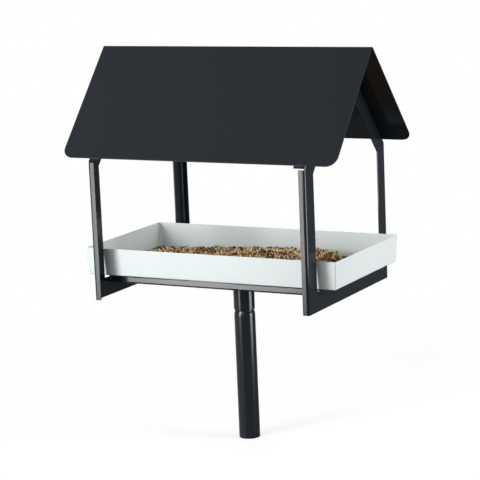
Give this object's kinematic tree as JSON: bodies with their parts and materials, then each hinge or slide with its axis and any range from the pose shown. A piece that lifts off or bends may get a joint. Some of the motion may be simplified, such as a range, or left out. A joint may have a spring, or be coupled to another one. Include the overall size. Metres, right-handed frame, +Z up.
{
  "type": "bird table",
  "caption": "Roofed bird table: a folded metal roof on two end frames shelters a seed tray that slides out endways, and the head turns on a round pole.",
  "frame": {"origin": "middle of the pole's open lower end", "axes": "+X along the ridge, +Z up the pole, -Y towards the front"},
  "size_m": [0.4, 0.248, 0.5335],
  "materials": {
    "anthracite_coat": "semi-gloss powder coat",
    "white_coat": "gloss powder coat",
    "zinc_plate": "bright zinc plate",
    "bird_seed": "loose dry seed"
  },
  "bodies": {
    "pole": {"pole_section": "anthracite_coat"},
    "head": {"roof_panel": "anthracite_coat", "roof_studs": "zinc_plate", "roof_washers": "zinc_plate", "roof_nuts": "zinc_plate", "end_frame_right": "anthracite_coat", "end_frame_left": "anthracite_coat", "front_rail": "anthracite_coat", "rear_rail": "anthracite_coat", "rail_studs": "zinc_plate", "rail_nuts": "zinc_plate", "centre_bearer": "anthracite_coat", "bearer_screws": "zinc_plate", "bearer_nuts": "zinc_plate", "socket_plate": "anthracite_coat", "plate_bolts": "zinc_plate", "plate_washers": "zinc_plate", "plate_nuts": "zinc_plate", "socket_tube": "anthracite_coat", "socket_weld": "anthracite_coat"},
    "tray": {"seed_tray": "white_coat", "seed_mix": "bird_seed"}
  },
  "joints": [
    {"name": "head_turn", "type": "hinge", "parent": "pole", "child": "head", "pos_m": [0, 0, 0.2], "axis": [0, 0, 1], "continuous": true},
    {"name": "tray_slide", "type": "slide", "parent": "head", "child": "tray", "axis": [1, 0, 0], "range_m": [-0.15, 0.15]}
  ]
}
